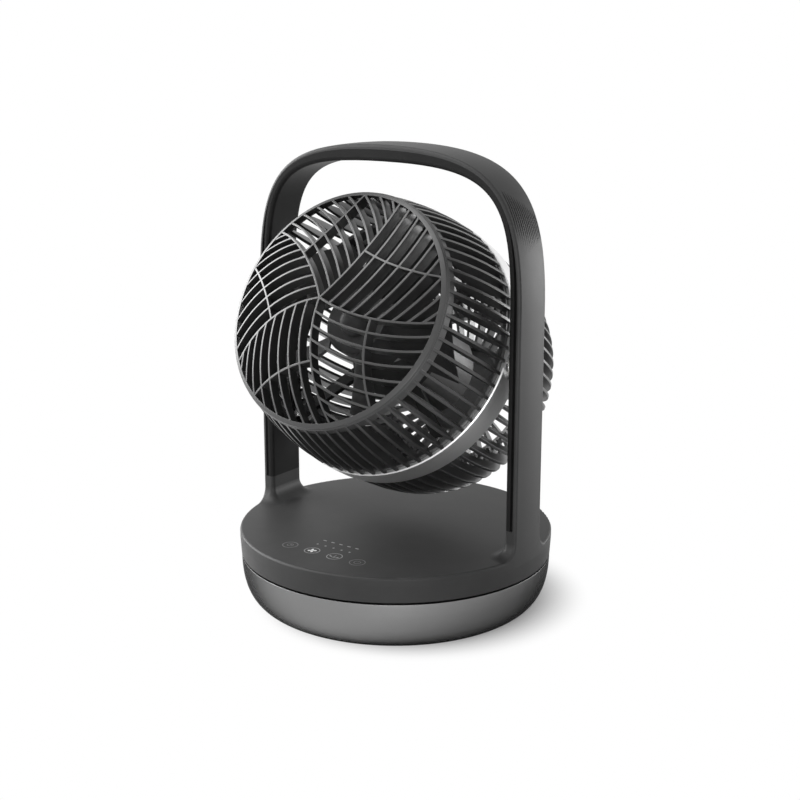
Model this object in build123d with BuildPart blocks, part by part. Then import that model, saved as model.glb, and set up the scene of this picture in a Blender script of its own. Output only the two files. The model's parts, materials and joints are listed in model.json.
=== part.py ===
"""Table-top air circulator: a swivelling round base, a carrying arch and a tilting round grille head.

Millimetres. The origin is on the table under the middle of the base, +Z is up, the fan blows
towards -Y and its head is modelled tilted up, as the photograph shows it.
"""
import os
from math import acos, asin, cos, degrees, pi, radians, sin, tan

from build123d import *

# Foot
foot_r = 124.0
foot_floor_r = 96.0
foot_z = 2.0
foot_top_z = 43.4
foot_wall = 3.0
foot_fullness = 0.67
pad_r = 8.0
pad_ring_r = 84.0
pad_count = 6
pad_start = 30.0
pad_recess = 1.0
pad_fit = 0.2

# Swivel bearing in the foot
well_r = 22.0
well_depth = 6.0
post_r = 17.0
post_neck_r = 15.0
post_top_z = 40.0
gear_seat_z = 30.0
bush_wall = 2.0
spindle_r = 10.0
spindle_bore_r = 5.5
running_fit = 0.05
seat_fit = 0.05
axial_play = 0.2
glide_r = 101.0
glide_width = 5.0
glide_height = 5.8
glide_rib_width = 4.0
retainer_r = 17.0
retainer_t = 2.8
retainer_screw_count = 3
retainer_screw_grip = 4.8

# Swing drive
gear_module = 1.0
gear_teeth = 64
pinion_teeth = 16
gear_t = 7.0
gear_backlash = 0.25
gear_root_gap = 0.25
flank_start = 0.1
pressure_angle = 20.0
swing_shaft_r = 2.5
swing_shaft_fit = 0.1
swing_motor_r = 14.0
swing_motor_drop = 4.0
swing_motor_h = 16.0
swing_motor_edge = 1.0
swing_ear_reach = 19.0
swing_ear_width = 8.0
swing_ear_t = 1.2

# Power inlet at the back of the foot
inlet_z = 22.0
inlet_face_y = 116.5
inlet_body_r = 6.1
inlet_flange_r = 8.6
inlet_flange_t = 1.5
inlet_length = 13.0
inlet_boss_wall = 4.0
inlet_bore_r = 2.8
inlet_pin_r = 1.0
inlet_bore_depth = 9.0

# Deck
deck_r = 125.0
deck_top_z = 64.6
deck_wall = 3.0
seam_gap = 1.8
deck_taper_in = 0.8
deck_taper_h = 13.0
deck_edge = 2.0
plate_t = 3.0
plate_fit = 0.3
plate_rise = 0.8
skirt_r = 119.6
skirt_t = 1.6
skirt_drop = 5.5
deck_boss_r = 4.5
deck_boss_ring_r = 112.0
deck_screw_count = 6
deck_screw_start = 30.0
deck_screw_grip = 9.0

# Carrying arch
leg_depth = 36.4
leg_blend = 12.0
leg_corner = 3.0
stub_top_z = 86.0
arch_half = 125.0
arch_spring_z = 250.0
arch_crown_z = 367.0
arch_fullness = 0.783
split_half = 121.0
split_crown_z = 363.0
split_fullness = 0.80
inner_half = 114.0
inner_crown_z = 354.0
inner_fullness = 0.854
groove_half = 118.6
groove_fullness = 0.845
groove_depth = 2.6
arch_edge = 2.2
flute_count = 13
flute_pitch = 2.6
flute_width = 1.3
flute_depth = 0.4
flute_low = 0.205
flute_high = 0.463
flute_low_rise = 0.05
flute_high_drop = 0.1
flute_reach = 12.0
tongue_t = 4.0
tongue_width = 24.0
tongue_length = 13.5
tongue_fit = 0.15
tongue_x = 117.5
arch_screw_y = 7.0

# Head, measured along its own axis from the tilt pivot
pivot_z = 209.5
head_tilt = 29.5
band_r = 107.5
band_wall = 3.0
band_front = 10.5
band_back = -12.0
band_chamfer = 0.9
lug_count = 4
lug_start = 45.0
lug_depth = 15.0
lug_width = 16.0
lug_t = 6.0
collar_t = 3.6
collar_fit = 0.15
collar_length = 6.0

# Front guard and its pinwheel grille
slat_count = 66
slat_t = 2.4
slat_depth = 9.0
slat_tip_depth = 2.4
slat_root = 0.8
slat_phase = -0.12
slat_gap = 0.5
guard_front_r = 96.4
guard_front_s = 76.0
guard_middle_r = 102.8
guard_middle_s = 46.0
guard_back_r = 107.1
rim_r = 92.6
rim_s = 85.4
rim_inner_r = 89.4
rim_t = 3.4
rim_cap = 1.6
rim_bead = 0.15
rim_overlap = 0.5
lip_s = 82.4
lip_step = 1.0
skirt_inset = 2.4
dome_apex_s = 107.8
rib_width = 1.7
rib_depth = 9.0
rib_sectors = 5
rib_curve_r = 125.0
rib_lead = 21.6
rib_pitch = 10.4
rib_count = 8
brace_at = 47.0

# Rear guard
rear_r = 106.0
rear_end_s = -116.0
rear_fullness = 0.858
rear_ring_r = 64.0
rear_ring_width = 4.0
rear_hub_r = 39.0
rear_hub_width = 3.0
rear_cap_t = 3.0
ring_inset = 0.8

# Tilt pivot
trunnion_pad_r = 12.0
trunnion_pad_x = 108.6
trunnion_flange_r = 12.0
trunnion_flange_t = 1.8
trunnion_r = 6.0
trunnion_spigot_r = 5.0
trunnion_spigot = 3.2
trunnion_end_gap = 0.6
washer_t = 1.5
washer_r = 11.0
pivot_gap = 0.3
pivot_boss_r = 12.0
pivot_bush_wall = 2.4
pivot_screw_y = 8.6
pivot_screw_length = 3.2

# Fan motor, on the bracket behind the blade
bracket_r = 40.0
bracket_t = 4.0
spoke_width = 9.0
spoke_gap = 0.6
bracket_bore_r = 13.0
motor_r = 36.0
motor_wall = 2.0
motor_half = 29.0
bearing_r = 9.5
bearing_w = 6.0
bearing_boss_wall = 2.2
housing_shaft_gap = 1.0
shaft_r = 4.0
rotor_r = 19.4
air_gap = 0.6
core_length = 30.0
coil_overhang = 5.0
coil_inset = 3.0
motor_screw_ring_r = 30.5

# Fan blade
blade_count = 5
hub_r = 26.0
hub_back_s = 22.0
hub_front_s = 58.0
hub_wall = 2.5
hub_boss_r = 9.0
blade_tip_r = 83.0
blade_s = 44.0
root_chord = 46.0
root_pitch = 52.0
tip_chord = 66.0
tip_pitch = 38.0
blade_t = 2.0
blade_camber = 5.0
nut_r = 13.0
nut_length = 11.0
shaft_front_s = 63.0

# Electronics
board_t = 1.6
board_corner = 2.0
control_board_x = 88.0
control_board_y = 26.0
control_board_at = -88.0
control_chip = 12.0
lamp_driver_x = 24.0
lamp_driver_length = 7.0
lamp_driver_width = 5.0
control_part_h = 2.0
touch_pitch = 21.5
touch_count = 4
touch_y = -91.0
touch_spring_r = 4.5
touch_spring_wall = 1.0
touch_spring_h = 2.4
board_post_x = 40.0
board_post_y = 9.5
board_post_r = 3.0
driver_board_x = 72.0
driver_board_y = 34.0
driver_board_at = 78.0
driver_post_h = 3.0
driver_post_x = 32.0
driver_post_y = 13.0
driver_screw_grip = 3.5
capacitor_r = 4.0
capacitor_x = -18.0
bridge_length = 14.0
bridge_width = 12.0
bridge_x = 12.0
driver_part_h = 5.5

# Screws
small_screw_r = 1.2
small_head_r = 2.4
small_head_h = 1.5
screw_r = 1.5
screw_head_r = 3.0
screw_head_h = 2.2
screw_fit = 0.05
screw_end_gap = 0.5
tip_gap = 1.0
recess_span = 1.3
recess_width = 0.3
recess_depth = 0.7

# Heights and radii that follow from the sizes above
deck_bottom_z = foot_top_z + seam_gap
ceiling_z = deck_top_z - deck_wall
plate_z = deck_bottom_z + plate_rise
plate_top_z = plate_z + plate_t
bush_r = spindle_r + running_fit
bush_outer_r = bush_r + bush_wall
shelf_z = foot_z + well_depth
spindle_end_z = shelf_z - axial_play
glide_z = plate_z - axial_play - glide_height
pitch_r = gear_module * gear_teeth / 2
pinion_pitch_r = gear_module * pinion_teeth / 2
swing_y = pitch_r + pinion_pitch_r
swing_motor_z = plate_z - swing_motor_drop
retainer_screw_r = (spindle_bore_r + spindle_r) / 2
band_inner_r = band_r - band_wall
collar_r = band_inner_r - collar_fit
guard_back_s = band_front + slat_gap
rear_start_s = band_back - slat_gap
dome_sag = dome_apex_s - rim_s
dome_r = (rim_r ** 2 + dome_sag ** 2) / (2 * dome_sag)
rim_seat_s = rim_s - rim_cap
lip_r = rim_r + (guard_front_r - rim_r) * (rim_s - lip_s) / (rim_s - guard_front_s)
rim_seat_r = rim_r + (guard_front_r - rim_r) * rim_cap / (rim_s - guard_front_s)
boss_face_x = trunnion_pad_x + trunnion_flange_t + washer_t + pivot_gap
pivot_bush_r = trunnion_r + running_fit
pivot_bush_outer_r = pivot_bush_r + pivot_bush_wall
stator_r = rotor_r + air_gap
motor_front_s = -bracket_t
motor_middle_s = motor_front_s - motor_half
motor_back_s = motor_middle_s - motor_half
lug_face_s = 0.0
spoke_face_s = band_front - collar_length
touch_z = ceiling_z - touch_spring_h - board_t

# The head's axis points out of the front grille
head_dir = Vector(0, -cos(radians(head_tilt)), sin(radians(head_tilt)))
head_up = Vector(0, sin(radians(head_tilt)), cos(radians(head_tilt)))
pivot = Vector(0, 0, pivot_z)
head_axis = Axis(pivot, head_dir)
head_plane = Plane(origin=pivot, x_dir=(1, 0, 0), z_dir=head_dir)
head_section = Plane(origin=pivot, x_dir=(1, 0, 0), z_dir=-head_up)

os.makedirs("parts", exist_ok=True)


def save(part, name):
    """Label a finished piece and write its file."""
    part.label = name
    export_step(part, f"parts/{name}.step")


def bowl_curve(floor_r, floor_z, edge_r, edge_z):
    """Side of the foot, from its flat floor to its upright edge."""
    run = foot_fullness * (edge_r - floor_r)
    rise = foot_fullness * (edge_z - floor_z)
    return Bezier((floor_r, floor_z), (floor_r + run, floor_z), (edge_r, edge_z - rise), (edge_r, edge_z))


def foot_outline():
    """Filled half section of the foot, for turning about Z."""
    with BuildLine() as outline:
        side = bowl_curve(foot_floor_r, foot_z, foot_r, foot_top_z)
        Polyline(side @ 1, (0, foot_top_z), (0, foot_z), side @ 0)
    make_face(outline.edges())


def ring_section(inner_r, outer_r, low, high, mode=Mode.ADD):
    """Rectangle between two radii and two heights, for turning about an axis."""
    with Locations(((inner_r + outer_r) / 2, (low + high) / 2)):
        Rectangle(outer_r - inner_r, high - low, mode=mode)


def tube_part(inner_r, outer_r, low, high):
    """Upright tube about Z."""
    with BuildPart() as tube:
        with BuildSketch(Plane.XZ):
            ring_section(inner_r, outer_r, low, high)
        revolve(axis=Axis.Z)
    return tube.part


def head_tube(inner_r, outer_r, back, front):
    """Tube about the head's axis."""
    with BuildPart() as tube:
        with BuildSketch(head_section):
            ring_section(inner_r, outer_r, back, front)
        revolve(axis=head_axis)
    return tube.part


def screw_group(seats, shank_r, length, head_r, head_h):
    """Screws with cross recesses: heads stand on the seat planes, shanks run against their normals."""
    with BuildPart() as group:
        for seat in seats:
            with BuildSketch(seat):
                Circle(head_r)
            extrude(amount=head_h)
            with BuildSketch(seat):
                Circle(shank_r)
            extrude(amount=-length)
            with BuildSketch(seat.offset(head_h)):
                Rectangle(recess_span * head_r, recess_width * head_r)
                Rectangle(recess_width * head_r, recess_span * head_r)
            extrude(amount=-recess_depth, mode=Mode.SUBTRACT)
    return group.part


def polar_points(radius, count, start=0.0):
    """Points evenly spaced on a circle."""
    angles = [radians(start + 360 * i / count) for i in range(count)]
    return [(radius * cos(a), radius * sin(a)) for a in angles]


def down_seats(points, height):
    """Planes facing down at one height, for screws driven upwards."""
    return [Plane(origin=(x, y, height), x_dir=(1, 0, 0), z_dir=(0, 0, -1)) for x, y in points]


def up_seats(points, height):
    """Planes facing up at one height, for screws driven downwards."""
    return [Plane(origin=(x, y, height), x_dir=(1, 0, 0), z_dir=(0, 0, 1)) for x, y in points]


def head_seats(points, station):
    """Planes facing along the head's axis, for screws driven backwards."""
    face = head_plane.offset(station)
    places = [face.from_local_coords((x, y, 0)) for x, y in points]
    return [Plane(origin=place, x_dir=(1, 0, 0), z_dir=head_dir) for place in places]


def side_plane(side, x):
    """Plane across the tilt pivot, facing away from the head."""
    return Plane(origin=(side * x, 0, pivot_z), x_dir=(0, side, 0), z_dir=(side, 0, 0))


def gear_points(teeth, start):
    """Involute outline of a spur gear, turned by a start angle in degrees."""
    pitch = gear_module * teeth / 2
    base = pitch * cos(radians(pressure_angle))
    outer = pitch + gear_module
    root = pitch - gear_module - gear_root_gap
    involute = tan(radians(pressure_angle)) - radians(pressure_angle)
    half_at_pitch = pi / (2 * teeth) - gear_backlash / (2 * pitch)
    flank = []
    for radius in (root, max(root, base) + flank_start, pitch, outer):
        roll = acos(min(1.0, base / radius))
        flank.append((radius, half_at_pitch + involute - (tan(roll) - roll)))
    points = []
    for tooth in range(teeth):
        middle = radians(start) + 2 * pi * tooth / teeth
        for radius, half in flank:
            points.append((radius * cos(middle - half), radius * sin(middle - half)))
        for radius, half in reversed(flank):
            points.append((radius * cos(middle + half), radius * sin(middle + half)))
    return points


# Foot: bowl, bearing post, glide rib and inlet boss
pad_points = polar_points(pad_ring_r, pad_count, pad_start)
inlet_plane = Plane(origin=(0, inlet_face_y, inlet_z), x_dir=(-1, 0, 0), z_dir=(0, 1, 0))
inlet_boss_r = inlet_flange_r + inlet_boss_wall

with BuildPart() as foot_shell:
    with BuildSketch(Plane.XZ):
        foot_outline()
        with BuildLine():
            hollow = bowl_curve(
                foot_floor_r - foot_wall, foot_z + foot_wall, foot_r - foot_wall, foot_top_z
            )
            Polyline(hollow @ 1, (0, foot_top_z), (0, foot_z + foot_wall), hollow @ 0)
        make_face(mode=Mode.SUBTRACT)
        ring_section(0, well_r + foot_wall, foot_z, shelf_z + foot_wall)
        ring_section(0, post_r, shelf_z, gear_seat_z)
        ring_section(0, post_neck_r, shelf_z, post_top_z)
        ring_section(0, well_r, foot_z, shelf_z, mode=Mode.SUBTRACT)
        ring_section(0, bush_outer_r + seat_fit, shelf_z, post_top_z, mode=Mode.SUBTRACT)
        ring_section(
            glide_r - glide_rib_width / 2, glide_r + glide_rib_width / 2, foot_z + foot_wall / 2, glide_z
        )
    revolve(axis=Axis.Z)
    with BuildSketch(inlet_plane.offset(-inlet_length)):
        Circle(inlet_boss_r)
    extrude(amount=inlet_length + foot_r - inlet_face_y)
    with BuildSketch(Plane.XZ):
        foot_outline()
    revolve(axis=Axis.Z, mode=Mode.INTERSECT)
    with BuildSketch(inlet_plane):
        Circle(inlet_flange_r + seat_fit)
    extrude(amount=foot_r, mode=Mode.SUBTRACT)
    with BuildSketch(inlet_plane):
        Circle(inlet_body_r + seat_fit)
    extrude(amount=-2 * inlet_length, mode=Mode.SUBTRACT)
    with BuildSketch(Plane.XY.offset(foot_z)):
        with Locations(*pad_points):
            Circle(pad_r + pad_fit)
    extrude(amount=pad_recess, mode=Mode.SUBTRACT)
save(foot_shell.part, "foot_shell")

with BuildPart() as rubber_feet:
    with BuildSketch(Plane.XY):
        with Locations(*pad_points):
            Circle(pad_r)
    extrude(amount=foot_z + pad_recess)
save(rubber_feet.part, "rubber_feet")

save(tube_part(bush_r, bush_outer_r, shelf_z, post_top_z), "swivel_bush")
glide_ring = tube_part(glide_r - glide_width / 2, glide_r + glide_width / 2, glide_z, glide_z + glide_height)
save(glide_ring, "glide_ring")

with BuildPart() as power_inlet:
    with BuildSketch(inlet_plane):
        Circle(inlet_flange_r)
    extrude(amount=inlet_flange_t)
    with BuildSketch(inlet_plane):
        Circle(inlet_body_r)
    extrude(amount=-inlet_length)
    with BuildSketch(inlet_plane.offset(inlet_flange_t)):
        Circle(inlet_bore_r)
        Circle(inlet_pin_r, mode=Mode.SUBTRACT)
    extrude(amount=-inlet_bore_depth, mode=Mode.SUBTRACT)
save(power_inlet.part, "power_inlet")

with BuildPart() as swing_gear:
    with BuildSketch(Plane.XY.offset(gear_seat_z)):
        with BuildLine():
            Polyline(*gear_points(gear_teeth, 0), close=True)
        make_face()
        Circle(post_neck_r + seat_fit, mode=Mode.SUBTRACT)
    extrude(amount=gear_t)
save(swing_gear.part, "swing_gear")

# Deck: shell with blended leg stubs, closing plate with the spindle, and its fasteners
deck_screw_points = polar_points(deck_boss_ring_r, deck_screw_count, deck_screw_start)
retainer_points = polar_points(retainer_screw_r, retainer_screw_count)
arch_screw_points = [(sx * tongue_x, sy * arch_screw_y) for sx in (1, -1) for sy in (1, -1)]
board_posts = [
    (sx * board_post_x, control_board_at + sy * board_post_y) for sx in (1, -1) for sy in (1, -1)
]

deck_base = Plane(origin=(0, 0, deck_bottom_z), x_dir=(0, 1, 0), z_dir=(0, 0, 1))

with BuildPart() as deck_shell:
    with BuildSketch(deck_base):
        Circle(deck_r)
    extrude(amount=stub_top_z - deck_bottom_z)
    with BuildSketch(deck_base.offset(deck_top_z - deck_bottom_z)):
        Circle(2 * deck_r)
        Rectangle(leg_depth, 4 * deck_r, mode=Mode.SUBTRACT)
        Rectangle(leg_depth, 2 * inner_half)
    extrude(amount=stub_top_z - deck_top_z, mode=Mode.SUBTRACT)
    stub_corners = deck_shell.edges().filter_by(Axis.Z).filter_by(
        lambda e: abs(abs(e.center().X) - inner_half) < 0.01
    )
    fillet(stub_corners, leg_corner)
    stub_roots = deck_shell.edges().filter_by(
        lambda e: abs(e.center().Z - deck_top_z) < 0.01 and e.bounding_box().size.Y < leg_depth + 0.1
    )
    fillet(stub_roots, leg_blend)
    rim = deck_shell.edges().filter_by(
        lambda e: e.center().Z > deck_top_z - 0.01
        and e.bounding_box().min.Z < stub_top_z - 0.01
        and abs((e @ 0.5).X ** 2 + (e @ 0.5).Y ** 2 - deck_r ** 2) < 1.0
    )
    fillet(rim, deck_edge)
    low_edge = deck_shell.faces().sort_by(Axis.Z)[0].edges()
    chamfer(low_edge, length=deck_taper_h, length2=deck_taper_in)
    with BuildSketch(Plane.XY.offset(deck_bottom_z)):
        Circle(deck_r - deck_wall)
    extrude(amount=ceiling_z - deck_bottom_z, mode=Mode.SUBTRACT)
    with BuildSketch(Plane.XY.offset(plate_top_z)):
        with Locations(*deck_screw_points):
            Circle(deck_boss_r)
            Circle(screw_r + screw_fit, mode=Mode.SUBTRACT)
    extrude(amount=ceiling_z - plate_top_z)
    with BuildSketch(Plane.XY.offset(touch_z + board_t)):
        with Locations(*board_posts):
            Circle(board_post_r)
            Circle(small_screw_r + screw_fit, mode=Mode.SUBTRACT)
    extrude(amount=touch_spring_h)
    with BuildSketch(Plane.XY.offset(stub_top_z)):
        with Locations((tongue_x, 0), (-tongue_x, 0)):
            Rectangle(tongue_t + 2 * tongue_fit, tongue_width + 2 * tongue_fit)
    extrude(amount=-tongue_length - tongue_fit, mode=Mode.SUBTRACT)
    with BuildSketch(Plane.XY.offset(ceiling_z)):
        with Locations(*arch_screw_points):
            Circle(small_screw_r + screw_fit)
    extrude(amount=stub_top_z - ceiling_z - tongue_length, mode=Mode.SUBTRACT)
save(deck_shell.part, "deck_shell")

driver_posts = [
    (sx * driver_post_x, driver_board_at + sy * driver_post_y) for sx in (1, -1) for sy in (1, -1)
]
swing_ear_points = [(sx * swing_ear_reach, swing_y) for sx in (1, -1)]

with BuildPart() as deck_plate:
    with BuildSketch(Plane.XZ):
        ring_section(0, deck_r - deck_wall - plate_fit, plate_z, plate_top_z)
        ring_section(skirt_r - skirt_t, skirt_r, plate_z - skirt_drop, plate_z)
        ring_section(0, spindle_r, spindle_end_z, plate_z)
        ring_section(0, spindle_bore_r, spindle_end_z, plate_top_z, mode=Mode.SUBTRACT)
    revolve(axis=Axis.Z)
    with BuildSketch(Plane.XY.offset(plate_top_z)):
        with Locations(*driver_posts):
            Circle(board_post_r)
    extrude(amount=driver_post_h)
    with BuildSketch(Plane.XY.offset(plate_top_z + driver_post_h)):
        with Locations(*driver_posts):
            Circle(small_screw_r + screw_fit)
    extrude(amount=-driver_post_h - plate_t / 2, mode=Mode.SUBTRACT)
    with BuildSketch(Plane.XY.offset(plate_z)):
        with Locations((0, swing_y)):
            Circle(swing_motor_r + seat_fit)
        with Locations(*deck_screw_points):
            Circle(screw_r + screw_fit)
        with Locations(*swing_ear_points):
            Circle(small_screw_r + screw_fit)
    extrude(amount=plate_t, mode=Mode.SUBTRACT)
    with BuildSketch(Plane.XY.offset(spindle_end_z)):
        with Locations(*retainer_points):
            Circle(small_screw_r + screw_fit)
    extrude(amount=retainer_screw_grip + tip_gap, mode=Mode.SUBTRACT)
save(deck_plate.part, "deck_plate")

with BuildPart() as spindle_retainer:
    with BuildSketch(Plane.XY.offset(spindle_end_z - retainer_t)):
        Circle(retainer_r)
        Circle(spindle_bore_r, mode=Mode.SUBTRACT)
        with Locations(*retainer_points):
            Circle(small_screw_r + screw_fit, mode=Mode.SUBTRACT)
    extrude(amount=retainer_t)
save(spindle_retainer.part, "spindle_retainer")

retainer_seats = down_seats(retainer_points, spindle_end_z - retainer_t)
retainer_length = retainer_t + retainer_screw_grip
retainer_head_r = spindle_r - retainer_screw_r
retainer_screws = screw_group(retainer_seats, small_screw_r, retainer_length, retainer_head_r, small_head_h)
save(retainer_screws, "retainer_screws")
deck_seats = down_seats(deck_screw_points, plate_z)
save(screw_group(deck_seats, screw_r, plate_t + deck_screw_grip, screw_head_r, screw_head_h), "deck_screws")

# Swing motor with its ears on the plate, and the pinion on its shaft
with BuildPart() as swing_motor:
    with BuildSketch(Plane.XY.offset(swing_motor_z)):
        with Locations((0, swing_y)):
            Circle(swing_motor_r)
    extrude(amount=swing_motor_h)
    fillet(swing_motor.edges().sort_by(Axis.Z)[-1], swing_motor_edge)
    with BuildSketch(Plane.XY.offset(plate_top_z)):
        with Locations((0, swing_y)):
            SlotCenterToCenter(2 * swing_ear_reach, swing_ear_width)
        with Locations(*swing_ear_points):
            Circle(small_screw_r + screw_fit, mode=Mode.SUBTRACT)
    extrude(amount=swing_ear_t)
    with BuildSketch(Plane.XY.offset(swing_motor_z)):
        with Locations((0, swing_y)):
            Circle(swing_shaft_r + swing_shaft_fit)
    extrude(amount=swing_motor_h / 2, mode=Mode.SUBTRACT)
save(swing_motor.part, "swing_motor")

ear_seats = up_seats(swing_ear_points, plate_top_z + swing_ear_t)
ear_screw_length = swing_ear_t + plate_t - screw_end_gap
ear_screws = screw_group(ear_seats, small_screw_r, ear_screw_length, small_head_r, small_head_h)
save(ear_screws, "swing_motor_screws")

with BuildPart() as swing_pinion:
    with BuildSketch(Plane((0, swing_y, gear_seat_z))):
        with BuildLine():
            Polyline(*gear_points(pinion_teeth, 180 / pinion_teeth), close=True)
        make_face()
    extrude(amount=gear_t)
    with BuildSketch(Plane((0, swing_y, gear_seat_z + gear_t))):
        Circle(swing_shaft_r)
    extrude(amount=swing_motor_z + swing_motor_h / 2 - tip_gap - gear_seat_z - gear_t)
save(swing_pinion.part, "swing_pinion")

# Boards: touch control under the front of the deck, driver on the plate at the back
touch_points = [((i - (touch_count - 1) / 2) * touch_pitch, touch_y) for i in range(touch_count)]

with BuildPart() as control_board:
    with BuildSketch(Plane.XY.offset(touch_z)):
        with Locations((0, control_board_at)):
            RectangleRounded(control_board_x, control_board_y, board_corner)
        with Locations(*board_posts):
            Circle(small_screw_r + screw_fit, mode=Mode.SUBTRACT)
    extrude(amount=board_t)
    with BuildSketch(Plane.XY.offset(touch_z)):
        with Locations((0, control_board_at)):
            Rectangle(control_chip, control_chip)
        with Locations((-lamp_driver_x, control_board_at), (lamp_driver_x, control_board_at)):
            Rectangle(lamp_driver_length, lamp_driver_width)
    extrude(amount=-control_part_h)
save(control_board.part, "control_board")

with BuildPart() as touch_springs:
    with BuildSketch(Plane.XY.offset(touch_z + board_t)):
        with Locations(*touch_points):
            Circle(touch_spring_r)
            Circle(touch_spring_r - touch_spring_wall, mode=Mode.SUBTRACT)
    extrude(amount=touch_spring_h)
save(touch_springs.part, "touch_springs")
board_seats = down_seats(board_posts, touch_z)
board_screw_length = board_t + touch_spring_h - screw_end_gap
save(screw_group(board_seats, small_screw_r, board_screw_length, small_head_r, small_head_h), "board_screws")

driver_z = plate_top_z + driver_post_h
with BuildPart() as driver_board:
    with BuildSketch(Plane.XY.offset(driver_z)):
        with Locations((0, driver_board_at)):
            RectangleRounded(driver_board_x, driver_board_y, board_corner)
        with Locations(*driver_posts):
            Circle(small_screw_r + screw_fit, mode=Mode.SUBTRACT)
    extrude(amount=board_t)
    with BuildSketch(Plane.XY.offset(driver_z + board_t)):
        with Locations((capacitor_x, driver_board_at)):
            Circle(capacitor_r)
        with Locations((bridge_x, driver_board_at)):
            Rectangle(bridge_length, bridge_width)
    extrude(amount=driver_part_h)
save(driver_board.part, "driver_board")
driver_seats = up_seats(driver_posts, driver_z + board_t)
driver_screw_length = board_t + driver_screw_grip
driver_screws = screw_group(driver_seats, small_screw_r, driver_screw_length, small_head_r, small_head_h)
save(driver_screws, "driver_screws")


# Carrying arch: inner frame, outer cover with its fluted shoulders, and the tilt bushes
def arch_shoulder(half, crown, fullness):
    """Right half of one arch line, from the top of its upright leg to the crown."""
    lift = fullness * (crown - arch_spring_z)
    return Bezier((half, arch_spring_z), (half, arch_spring_z + lift), (fullness * half, crown), (0, crown))


def arch_area(half, crown, fullness, mode=Mode.ADD):
    """Everything under one arch line, on the XZ plane, down to the seam of the leg."""
    with BuildLine() as outline:
        right = arch_shoulder(half, crown, fullness)
        mirror(right, about=Plane.YZ)
        Polyline((-half, arch_spring_z), (-half, stub_top_z), (half, stub_top_z), right @ 0)
    make_face(outline.edges(), mode=mode)


def flute_area(back):
    """One flute, cut off the right shoulder by a flatter arc: the longest at the front (0)."""
    with BuildLine(mode=Mode.PRIVATE):
        shoulder = arch_shoulder(arch_half, arch_crown_z, arch_fullness)
    low = flute_low + back * flute_low_rise
    high = flute_high - back * flute_high_drop
    middle = (low + high) / 2
    along = shoulder % middle
    outward = Vector(along.Y, -along.X)
    with BuildLine() as outline:
        ThreePointArc(shoulder @ low, shoulder @ middle - outward * flute_depth, shoulder @ high)
        Polyline(shoulder @ high, shoulder @ middle + outward * flute_reach, shoulder @ low)
    make_face(outline.edges())


def on_arch_line(edge, half, crown):
    """Whether an edge of the arch's front or back face belongs to one arch line."""
    box = edge.bounding_box()
    on_face = abs(abs(edge.center().Y) - leg_depth / 2) < 0.01
    upright = box.size.X < 0.01 and abs(abs(edge.center().X) - half) < 0.01
    return on_face and (upright or abs(box.max.Z - crown) < 0.01)


with BuildPart() as arch_frame:
    with BuildSketch(Plane.XZ):
        arch_area(split_half, split_crown_z, split_fullness)
        arch_area(inner_half, inner_crown_z, inner_fullness, mode=Mode.SUBTRACT)
    extrude(amount=leg_depth / 2, both=True)
    fillet(arch_frame.edges().filter_by(lambda e: on_arch_line(e, inner_half, inner_crown_z)), leg_corner)
    for side in (1, -1):
        with BuildSketch(Plane.XZ.offset(side * leg_depth / 2)):
            arch_area(split_half, split_crown_z, split_fullness)
            arch_area(groove_half, split_crown_z, groove_fullness, mode=Mode.SUBTRACT)
        extrude(amount=-side * groove_depth, mode=Mode.SUBTRACT)
        with BuildSketch(side_plane(side, boss_face_x)):
            Circle(pivot_boss_r)
        extrude(amount=split_half - boss_face_x)
        with BuildSketch(side_plane(side, boss_face_x)):
            Circle(pivot_bush_outer_r + seat_fit)
        extrude(amount=split_half - boss_face_x, mode=Mode.SUBTRACT)
    with BuildSketch(Plane.XY.offset(stub_top_z)):
        with Locations((tongue_x, 0), (-tongue_x, 0)):
            Rectangle(tongue_t, tongue_width)
    extrude(amount=-tongue_length)
    with BuildSketch(Plane.XY.offset(stub_top_z - tongue_length)):
        with Locations(*arch_screw_points):
            Circle(small_screw_r + screw_fit)
    extrude(amount=tongue_length - tip_gap, mode=Mode.SUBTRACT)
save(arch_frame.part, "arch_frame")

arch_seats = down_seats(arch_screw_points, ceiling_z)
arch_screw_length = stub_top_z - ceiling_z - 2 * tip_gap
save(screw_group(arch_seats, small_screw_r, arch_screw_length, small_head_r, small_head_h), "arch_screws")

flute_turn = degrees(flute_width / arch_half)
with BuildPart() as arch_cover:
    with BuildSketch(Plane.YZ):
        with BuildLine():
            skin = arch_shoulder(arch_half, arch_crown_z, arch_fullness)
            Polyline(skin @ 1, (0, stub_top_z), (arch_half, stub_top_z), skin @ 0)
        make_face()
    revolve(axis=Axis.Z)
    with BuildSketch(Plane.XY.offset(stub_top_z)):
        Rectangle(4 * arch_half, leg_depth)
    extrude(amount=arch_crown_z, mode=Mode.INTERSECT)
    with BuildSketch(Plane.XZ):
        arch_area(split_half, split_crown_z, split_fullness)
    extrude(amount=leg_depth, both=True, mode=Mode.SUBTRACT)
    skin_edges = arch_cover.edges().filter_by(
        lambda e: abs(abs(e.center().Y) - leg_depth / 2) < 0.01
        and e.bounding_box().size.Z > arch_edge
        and (abs(e.center().X) > split_half + 0.1 or e.bounding_box().max.Z > split_crown_z + 0.1)
    )
    fillet(skin_edges, arch_edge)
    for i in range(flute_count):
        lean = degrees((i - (flute_count - 1) / 2) * flute_pitch / arch_half)
        for turn in (lean - flute_turn / 2, 180 - lean - flute_turn / 2):
            across = (cos(radians(turn)), sin(radians(turn)), 0)
            with BuildSketch(Plane((0, 0, 0), x_dir=across, z_dir=(across[1], -across[0], 0))):
                flute_area(i / (flute_count - 1))
            revolve(axis=Axis.Z, revolution_arc=flute_turn, mode=Mode.SUBTRACT)
save(arch_cover.part, "arch_cover")

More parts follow.
